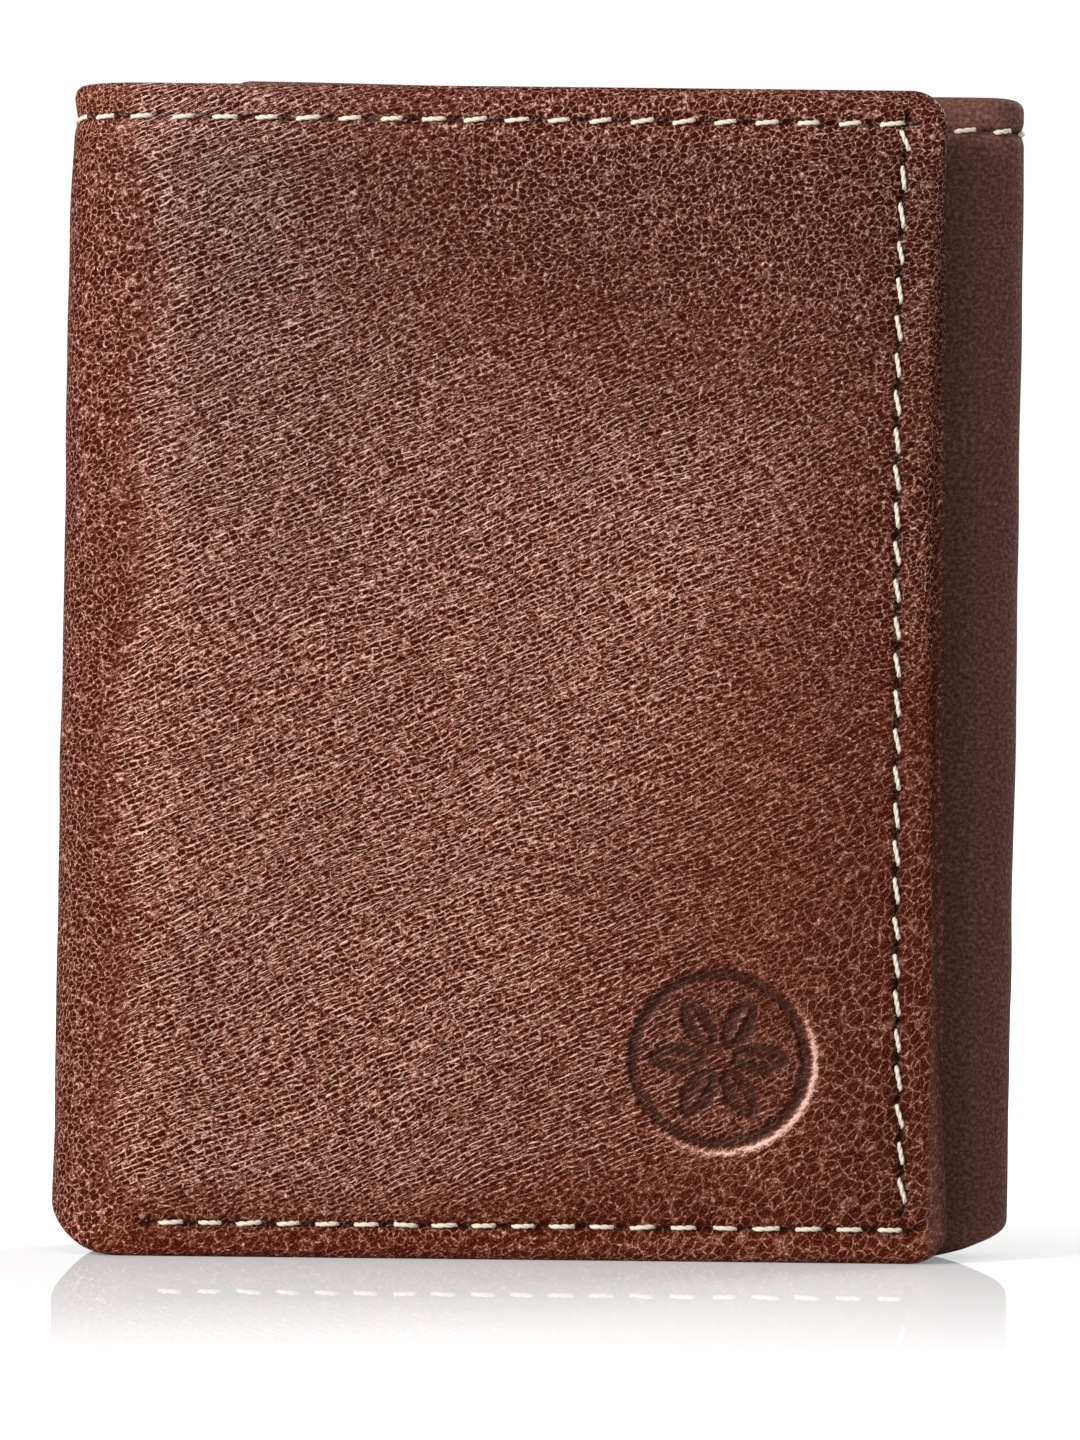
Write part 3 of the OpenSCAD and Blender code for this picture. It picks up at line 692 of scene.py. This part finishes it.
    # Painted shade at the stitches: the groove is darkened and the needle holes are made nearly black.
    stitch_shade_amount = attribute(nodes, "stitch_shade_amount").outputs["Fac"]
    skin = mix(nodes, links, math_node(nodes, links, "MULTIPLY", stitch_shade_amount, 0.95), skin, (0.004, 0.0015, 0.001))
    links.new(skin, shader.inputs["Base Color"])
    rough = ramp(nodes, links, lift, [(0.0, 0.58), (1.0, 0.3)])
    rough = mix(nodes, links, pressed, rough, (0.38, 0.38, 0.38))
    links.new(rough, shader.inputs["Roughness"])
    gloss = ramp(nodes, links, lift, [(0.0, 0.0), (0.3, 0.08), (1.0, 1.0)])
    links.new(mix(nodes, links, pressed, gloss, (0.15, 0.15, 0.15)), shader.inputs["Coat Weight"])
    shader.inputs["Coat Roughness"].default_value = 0.32
    shader.inputs["Specular IOR Level"].default_value = 0.02
    height = math_node(nodes, links, "ADD", lift, math_node(nodes, links, "MULTIPLY", speck, 0.4))
    flattened = ramp(nodes, links, pressed, [(0.3, 1.0), (1.0, 0.4)])
    height = math_node(nodes, links, "MULTIPLY", height, flattened)
    bump = nodes.new("ShaderNodeBump")
    bump.inputs["Strength"].default_value = 1.0
    bump.inputs["Distance"].default_value = 0.085 * MM
    links.new(height, bump.inputs["Height"])
    links.new(bump.outputs[0], shader.inputs["Normal"])
    links.new(bump.outputs[0], shader.inputs["Coat Normal"])
    return material


def fine_leather():
    """Thin, smoother dark leather of the inside."""
    material, nodes, links, shader = tree("pocket_leather")
    place_node = nodes.new("ShaderNodeTexCoord").outputs["Object"]
    edge = cells(nodes, links, place_node, 1500)
    broad = noise(nodes, links, place_node, 60, 3.0).outputs["Fac"]
    skin = ramp(nodes, links, edge, [(0.0, (0.1, 0.045, 0.03)), (0.3, (0.055, 0.021, 0.014))])
    skin = mix(nodes, links, 1.0, skin, ramp(nodes, links, broad, [(0.3, 0.75), (0.7, 1.2)]), "MULTIPLY")
    links.new(skin, shader.inputs["Base Color"])
    shader.inputs["Roughness"].default_value = 0.5
    bump = nodes.new("ShaderNodeBump")
    bump.inputs["Strength"].default_value = 0.5
    bump.inputs["Distance"].default_value = 0.05 * MM
    links.new(edge, bump.inputs["Height"])
    links.new(bump.outputs[0], shader.inputs["Normal"])
    return material


def woven_lining():
    """Dark plain-woven cloth with a fine crossed rib."""
    material, nodes, links, shader = tree("lining_cloth")
    flat = attribute(nodes, "flat").outputs["Vector"]
    threads = []
    for axis in (0, 1):
        wave = nodes.new("ShaderNodeTexWave")
        wave.bands_direction = "XY"[axis]
        wave.inputs["Scale"].default_value = 700
        wave.inputs["Distortion"].default_value = 0.6
        links.new(flat, wave.inputs["Vector"])
        threads.append(wave.outputs["Fac"])
    weave = math_node(nodes, links, "MULTIPLY", *threads)
    links.new(ramp(nodes, links, weave, [(0.0, (0.012, 0.008, 0.007)), (1.0, (0.05, 0.036, 0.03))]),
              shader.inputs["Base Color"])
    shader.inputs["Roughness"].default_value = 0.8
    shader.inputs["Sheen Weight"].default_value = 0.2
    bump = nodes.new("ShaderNodeBump")
    bump.inputs["Strength"].default_value = 0.5
    bump.inputs["Distance"].default_value = 0.05 * MM
    links.new(weave, bump.inputs["Height"])
    links.new(bump.outputs[0], shader.inputs["Normal"])
    return material


def waxed_thread():
    """Beige thread, darker between its plies, with fine fibres along it."""
    material, nodes, links, shader = tree("thread")
    flat = attribute(nodes, "flat").outputs["Vector"]
    fibre = noise(nodes, links, mapped(nodes, links, flat, 0, (900, 6000, 6000)), 1.0, 2.0).outputs["Fac"]
    skin = ramp(nodes, links, fibre, [(0.25, (0.55, 0.45, 0.31)), (0.5, (0.82, 0.73, 0.57)),
                                      (0.8, (0.95, 0.9, 0.77))])
    links.new(skin, shader.inputs["Base Color"])
    shader.inputs["Roughness"].default_value = 0.55
    shader.inputs["Sheen Weight"].default_value = 0.3
    bump = nodes.new("ShaderNodeBump")
    bump.inputs["Strength"].default_value = 0.4
    bump.inputs["Distance"].default_value = 0.04 * MM
    links.new(fibre, bump.inputs["Height"])
    links.new(bump.outputs[0], shader.inputs["Normal"])
    return material


def fibre_board():
    material, nodes, links, shader = tree("board")
    place_node = nodes.new("ShaderNodeTexCoord").outputs["Object"]
    fleck = noise(nodes, links, place_node, 1200, 3.0).outputs["Fac"]
    links.new(ramp(nodes, links, fleck, [(0.3, (0.22, 0.19, 0.15)), (0.7, (0.36, 0.33, 0.28))]),
              shader.inputs["Base Color"])
    shader.inputs["Roughness"].default_value = 0.9
    return material


def clear_film():
    """Soft clear vinyl with faint ripples."""
    material, nodes, links, shader = tree("clear_film")
    place_node = nodes.new("ShaderNodeTexCoord").outputs["Object"]
    ripple = noise(nodes, links, place_node, 90, 2.0).outputs["Fac"]
    links.new(ramp(nodes, links, ripple, [(0.3, (0.82, 0.86, 0.88)), (0.7, (0.92, 0.94, 0.95))]),
              shader.inputs["Base Color"])
    shader.inputs["Roughness"].default_value = 0.08
    shader.inputs["Transmission Weight"].default_value = 1.0
    shader.inputs["IOR"].default_value = 1.25
    bump = nodes.new("ShaderNodeBump")
    bump.inputs["Strength"].default_value = 0.3
    bump.inputs["Distance"].default_value = 0.2 * MM
    links.new(ripple, bump.inputs["Height"])
    links.new(bump.outputs[0], shader.inputs["Normal"])
    return material


LEATHER, POCKET, LINING = shell_leather(), fine_leather(), woven_lining()
THREAD, BOARD, FILM = waxed_thread(), fibre_board(), clear_film()


SPANS = {"front": (0, U_LEFT_MID), "left": (U_LEFT_MID, U_CENTRE_MID),
         "right": (U_CENTRE_MID, U_RIGHT_MID), "inner": (U_RIGHT_MID, U_END)}


def bent(piece):
    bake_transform(piece)
    return piece


def rides(piece, body, slot, *nodes):
    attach(piece, body)
    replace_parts(piece, *nodes)
    return piece


# ---------------------------------------------------------------- the leather shell
EDGE_FINE = np.concatenate([CORNER_R * (1 - np.cos(np.radians(np.arange(5, 90, 9)))), [CORNER_R]])
EMBLEM_FINE = (EMBLEM_U - EMBLEM_R - 0.3 * MM, EMBLEM_U + EMBLEM_R + 0.3 * MM, 0.2 * MM)
ROW_FINE = (EDGE_ROW - 0.7 * MM, EDGE_ROW + 1 * MM, 0.2 * MM)
front_columns = spaced(CORNER_R, U_LEFT_MID, 0.42 * MM, [EMBLEM_FINE, ROW_FINE])
front_columns = np.concatenate([EDGE_FINE[:-1], front_columns])
EMBLEM_ROWS = (EMBLEM_V - EMBLEM_R - 0.3 * MM, EMBLEM_V + EMBLEM_R + 0.3 * MM, 0.2 * MM)
left_columns = spaced(U_LEFT_MID, U_CENTRE_MID, 0.5 * MM)
right_columns = spaced(U_CENTRE_MID, U_RIGHT_MID, 0.5 * MM)
inner_columns = spaced(U_RIGHT_MID, U_END - CORNER_R, 0.42 * MM)
inner_columns = np.concatenate([inner_columns, (U_END - EDGE_FINE[:-1])[::-1]])
SHELLS = {
    "front": shell("shell_front", front_columns, 0.42 * MM, edge_u=0, fine_rows=[EMBLEM_ROWS]),
    "left": shell("shell_left", left_columns, 0.6 * MM),
    "right": shell("shell_right", right_columns, 0.6 * MM),
    "inner": shell("shell_inner", inner_columns, 0.5 * MM, edge_u=U_END),
}
SHELL_NODES = {"front": ["front_shell", "left_fold_shell"], "left": ["centre_shell", "left_fold_shell"],
               "right": ["centre_shell", "right_fold_shell"], "inner": ["inner_shell", "right_fold_shell"]}
for part, piece in SHELLS.items():
    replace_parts(bent(piece), *SHELL_NODES[part])

# ---------------------------------------------------------------- thread of the shell
THREAD_DEPTH = 0.12 * MM
THREAD_NODES = {"front": ["front_stitching", "left_fold_stitching"], "left": ["centre_stitching"],
                "right": ["centre_stitching", "right_fold_stitching"], "inner": ["inner_stitching"]}
for part, (first, last) in SPANS.items():
    own = [(u, v, a) for u, v, a, _ in STITCHES if first <= u < last]
    piece = thread("thread_" + part, own, THREAD_DEPTH, warped=part == "front", shaped=True)
    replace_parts(bent(piece), *THREAD_NODES[part])

# ---------------------------------------------------------------- lining and inner wall
INSET = 1.6 * MM
lining_d = depth_of("centre_stiffener", BACK_Y)[1] + 0.1 * MM
LINING_T = 0.25 * MM
# How far above the shell's lower edge the lining and the wall start.
LINING_LOW, WALL_LOW = 1.8 * MM, 1.2 * MM
WALL_T = 0.5 * MM
wall_base = depth_of("slip_pocket", BACK_Y)[0] - WALL_T
LINING_TOP, WALL_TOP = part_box("centre_bill_lining")[1].z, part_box("centre_wall")[1].z
INNER_SPANS = {"front": (INSET, U_LEFT_MID), "left": (U_LEFT_MID, U_CENTRE_MID),
               "right": (U_CENTRE_MID, U_RIGHT_MID), "inner": (U_RIGHT_MID, U_END - INSET)}
for part, (first, last) in INNER_SPANS.items():
    columns = spaced(first, last, 0.9 * MM)
    low = low_edge(columns) + LINING_LOW
    cloth = layer("lining_" + part, columns, low, LINING_TOP, lining_d, lining_d + LINING_T, LINING)
    names = {"front": ["front_bill_lining", "left_fold_lining"], "left": ["centre_bill_lining"],
             "right": ["centre_bill_lining", "right_fold_lining"], "inner": ["inner_bill_lining"]}[part]
    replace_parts(bent(cloth), *names)
    wall_low = low_edge(columns) + WALL_LOW
    wall = layer("wall_" + part, columns, wall_low, WALL_TOP, wall_base, wall_base + WALL_T, POCKET,
                 rows=60, dips=[(WALL_TOP - 2.2 * MM, 0.12 * MM, 0.3 * MM)])
    names = {"front": ["front_wall", "left_fold_wall"], "left": ["centre_wall"],
             "right": ["centre_wall", "right_fold_wall"], "inner": ["inner_wall"]}[part]
    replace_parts(bent(wall), *names)


# ---------------------------------------------------------------- pockets and window
def u_of(x, outer_y):
    """Length along the outer face for a place on one of the three panels."""
    if outer_y == FRONT_Y:
        return FRONT_EDGE - x
    return U_CENTRE + x - LEFT_C if outer_y == BACK_Y else U_INNER + RIGHT_C - x


def pocket(node, body, outer_y, dip=1.2 * MM):
    """A flat pocket whose upper edge dips a little towards its middle, with a crease under it."""
    low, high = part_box(node)
    first, last = sorted((u_of(low.x, outer_y), u_of(high.x, outer_y)))
    columns = spaced(first, last, 1.0 * MM)
    across = (columns - first) / (last - first)
    top = high.z - dip * np.sin(np.pi * across) ** 2
    d0, d1 = depth_of(node, outer_y)
    piece = layer(node + "_leather", columns, low.z, top, d0, d1, POCKET, rows=70,
                  dips=[(high.z - dip - 1.6 * MM, 0.14 * MM, 0.28 * MM)])
    return rides(piece, body, "pocket_leather", node)


OUTER = {"front": ("front_flap", FRONT_Y), "inner": ("inner_flap", INNER_Y)}
for part, (body, outer_y) in OUTER.items():
    for step in ("rear", "middle", "near"):
        pocket(f"{part}_card_pocket_{step}", body, outer_y)
pocket("slip_pocket", "centre", BACK_Y)


def pocket_thread(part, body, outer_y):
    """Rows down both sides of a flap's card pockets, lying on whichever pocket is nearest there."""
    names = [f"{part}_card_pocket_{step}" for step in ("rear", "middle", "near")]
    boxes = [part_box(n) for n in names]
    stitches = []
    for x in (boxes[0][0].x + 1.6 * MM, boxes[0][1].x - 1.6 * MM):
        for v in np.arange(boxes[0][0].z + 2.5 * MM, boxes[0][1].z - 2 * MM, EDGE_PITCH):
            if all(abs(v - b[1].z) > 1.7 * MM for b in boxes):
                face = max(depth_of(n, outer_y)[1] for n, b in zip(names, boxes) if v < b[1].z)
                stitches.append((u_of(x, outer_y), v, math.pi / 2 + EDGE_LEAN, face))
    pieces = []
    for face in sorted({s[3] for s in stitches}):
        own = [s[:3] for s in stitches if s[3] == face]
        pieces.append(thread(f"{part}_pocket_thread", own, face + 0.02 * MM, inward=-1, radius=0.2 * MM))
    joined(pieces)
    return rides(pieces[0], body, "thread", part + "_pocket_stitching")


def joined(pieces):
    """Joins pieces into the first one."""
    with bpy.context.temp_override(active_object=pieces[0], selected_editable_objects=pieces):
        bpy.ops.object.join()


for part, (body, outer_y) in OUTER.items():
    pocket_thread(part, body, outer_y)


def rounded_rectangle(half_w, half_h, radius, count=40):
    """Points round a rectangle with round corners, from the middle of its right side."""
    corners = [(half_w - radius, half_h - radius, 0), (radius - half_w, half_h - radius, 90),
               (radius - half_w, radius - half_h, 180), (half_w - radius, radius - half_h, 270)]
    points = []
    for x, y, first in corners:
        for a in np.radians(first + np.linspace(0, 90, 9)):
            points.append((x + radius * math.cos(a), y + radius * math.sin(a)))
    loop = np.array(points + [points[0]])
    gone = np.concatenate([[0], np.cumsum(np.hypot(*np.diff(loop, axis=0).T))])
    at = np.linspace(0, gone[-1], 4 * count + 1)[:-1]
    return np.stack([np.interp(at, gone, loop[:, k]) for k in (0, 1)], 1)


def window_frame():
    """A leather frame with a thumb notch in its upper edge, raised at both of its edges."""
    low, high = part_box("id_frame")
    border = 5 * MM
    centre_x, centre_z = (low.x + high.x) / 2, (low.z + high.z) / 2
    half_w, half_h = (high.x - low.x) / 2, (high.z - low.z) / 2
    outer = rounded_rectangle(half_w, half_h, 2.5 * MM)
    inner = rounded_rectangle(half_w - border, half_h - border, 2 * MM)
    notch_r, notch_z = 9 * MM, half_h + 5.5 * MM
    in_notch = (outer[:, 1] > half_h - 0.1 * MM) & (np.abs(outer[:, 0]) < notch_r)
    drop = np.sqrt(np.clip(notch_r ** 2 - outer[:, 0] ** 2, 0, None))
    outer[in_notch, 1] = np.minimum(outer[in_notch, 1], notch_z - drop[in_notch])
    d0, d1 = depth_of("id_frame", BACK_Y)
    profile = [(0, 0.1), (0, 0.75), (0.05, 1), (0.3, 0.92), (0.7, 0.92), (0.95, 1), (1, 0.75), (1, 0.1)]
    rings = []
    for share, rise in profile:
        xz = outer + (inner - outer) * share
        rings.append(np.stack([u_of(centre_x + xz[:, 0], BACK_Y), centre_z + xz[:, 1],
                               np.full(len(xz), d0 + (d1 - d0) * rise)], 1))
    flat = np.stack(rings, 1).reshape(-1, 3)
    count, around = len(outer), len(profile)
    faces = []
    for i in range(count):
        for k in range(around):
            a, b = i * around, ((i + 1) % count) * around
            faces.append([a + k, a + (k + 1) % around, b + (k + 1) % around, b + k])
    return rides(make("window_frame", place(*flat.T), faces, POCKET, None, (), flat),
                 "centre", "pocket_leather", "id_frame")


window_frame()

film_low, film_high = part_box("id_window")
film_u = sorted((u_of(film_low.x, BACK_Y), u_of(film_high.x, BACK_Y)))
film = layer("window_film", spaced(*film_u, 1.5 * MM), film_low.z, film_high.z,
             *depth_of("id_window", BACK_Y), FILM)
rides(film, "centre", "clear_film", "id_window")

frame_low, frame_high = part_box("id_frame")
frame_face = depth_of("id_frame", BACK_Y)[1]
side = 2 * MM
window_stitches = []
for x in (frame_low.x + side, frame_high.x - side):
    for v in np.arange(frame_low.z + side + 3 * MM, frame_high.z - side, EDGE_PITCH):
        window_stitches.append((u_of(x, BACK_Y), v, math.pi / 2 + EDGE_LEAN))
for x in np.arange(frame_low.x + side + 3 * MM, frame_high.x - side - 1 * MM, ROW_PITCH):
    window_stitches.append((u_of(x, BACK_Y), frame_low.z + side, ROW_LEAN))
window_thread = thread("window_thread", window_stitches, frame_face - 0.02 * MM, inward=-1, radius=0.2 * MM)
rides(window_thread, "centre", "thread", "id_stitching")

# The boards stay as the frame has them, inside the leather.
for node in ("centre_stiffener", "front_stiffener", "inner_stiffener"):
    slots = frame["nodes"][node].data.materials
    slots.clear()
    slots.append(BOARD)

# ---------------------------------------------------------------- floor, light and camera
bpy.ops.mesh.primitive_plane_add(size=6, location=(0, 0, 0))
floor = bpy.context.object
floor.name = "floor"
material, nodes, links, shader = tree("floor_white")
spot = nodes.new("ShaderNodeTexCoord").outputs["Object"]
grime = noise(nodes, links, spot, 3.0).outputs["Fac"]
links.new(ramp(nodes, links, grime, [(0.0, 0.8), (1.0, 0.83)]), shader.inputs["Base Color"])
shader.inputs["Roughness"].default_value = 1.0
shader.inputs["Specular IOR Level"].default_value = 0.0
shader.inputs["Emission Color"].default_value = (1, 1, 1, 1)
# To the camera only, the floor glows as white paper: painted light that hides shadows away from the wallet.
# Close to the wallet the glow is lower, a painted shade round it, and its shadow falls there.
far = nodes.new("ShaderNodeVectorMath")
far.operation = "DISTANCE"
far.inputs[1].default_value = (-0.05, -0.1, 0)
links.new(spot, far.inputs[0])
painted_floor_glow = nodes.new("ShaderNodeMapRange")
for socket, value in zip(("From Min", "From Max", "To Min", "To Max"), (0.12, 0.3, 0.4, 1.1)):
    painted_floor_glow.inputs[socket].default_value = value
links.new(far.outputs["Value"], painted_floor_glow.inputs["Value"])
seen = nodes.new("ShaderNodeLightPath").outputs["Is Camera Ray"]
links.new(math_node(nodes, links, "MULTIPLY", painted_floor_glow.outputs[0], seen), shader.inputs["Emission Strength"])
mirror = nodes.new("ShaderNodeBsdfGlossy")
mirror.inputs["Roughness"].default_value = 0.0
# The floor mirrors the wallet close to it and fades to matt at this distance from its outline.
SHINE_END = 0.16
split = nodes.new("ShaderNodeSeparateXYZ")
links.new(spot, split.inputs[0])
gaps = []
for axis, reach in (("X", RIGHT_X), ("Y", BACK_Y)):
    away = math_node(nodes, links, "ABSOLUTE", split.outputs[axis])
    away = math_node(nodes, links, "MAXIMUM", math_node(nodes, links, "SUBTRACT", away, reach), 0.0)
    gaps.append(math_node(nodes, links, "POWER", away, 2.0))
away = math_node(nodes, links, "SQRT", math_node(nodes, links, "ADD", *gaps))
near = nodes.new("ShaderNodeMapRange")
for socket, value in zip(("From Min", "From Max", "To Min", "To Max"), (0.0, SHINE_END, 0.5, 0.0)):
    near.inputs[socket].default_value = value
links.new(away, near.inputs["Value"])
blend = nodes.new("ShaderNodeMixShader")
links.new(near.outputs[0], blend.inputs[0])
links.new(shader.outputs[0], blend.inputs[1])
links.new(mirror.outputs[0], blend.inputs[2])
links.new(blend.outputs[0], nodes["Material Output"].inputs["Surface"])
floor.data.materials.append(material)

world = bpy.data.worlds.new("studio")
bpy.context.scene.world = world
world.use_nodes = True
sky = world.node_tree.nodes["Background"]
world_nodes, world_links = world.node_tree.nodes, world.node_tree.links
path = world_nodes.new("ShaderNodeLightPath")
seen = math_node(world_nodes, world_links, "MAXIMUM",
                 path.outputs["Is Camera Ray"], path.outputs["Is Singular Ray"])
strength = math_node(world_nodes, world_links, "MULTIPLY_ADD", seen, 0.8)
strength.node.inputs[2].default_value = 0.25
world_links.new(strength, sky.inputs["Strength"])
sky.inputs["Color"].default_value = (1, 1, 1, 1)


def area_light(name, place_at, aim, power, size):
    data = bpy.data.lights.new(name, "AREA")
    data.energy, data.size, data.shape = power, size, "SQUARE"
    lamp = bpy.data.objects.new(name, data)
    bpy.context.scene.collection.objects.link(lamp)
    lamp.location = place_at
    lamp.rotation_euler = (Vector(aim) - Vector(place_at)).to_track_quat("-Z", "Y").to_euler()


middle_z = HEIGHT / 2
area_light("key", (-0.75, -0.72, 0.6), (0, 0, middle_z), 12.4, 0.2)
area_light("top", (-0.1, -0.2, 0.9), (0, 0, middle_z), 1.2, 0.5)
area_light("fill", (0.2, -1.1, 0.3), (0, 0, middle_z), 0.4, 0.6)
area_light("back", (0.7, 0.75, 0.6), (0, 0, middle_z), 7, 0.5)

DISTANCE = 0.65
VIEW_H = 132.353 * MM  # what the picture shows, top to bottom, at the front face
camera_data = bpy.data.cameras.new("camera")
camera = bpy.data.objects.new("camera", camera_data)
bpy.context.scene.collection.objects.link(camera)
camera_data.sensor_width = 36
camera_data.lens = 36 * DISTANCE / VIEW_H
camera.location = (0.0, FRONT_Y - DISTANCE, 49.7 * MM)
camera.rotation_mode = "XYZ"
roll = math.radians(0.62)
camera.rotation_euler = (Matrix.Rotation(math.pi / 2, 3, "X") @ Matrix.Rotation(roll, 3, "Z")).to_euler()
bpy.context.scene.camera = camera
bpy.context.scene.view_settings.view_transform = "Standard"
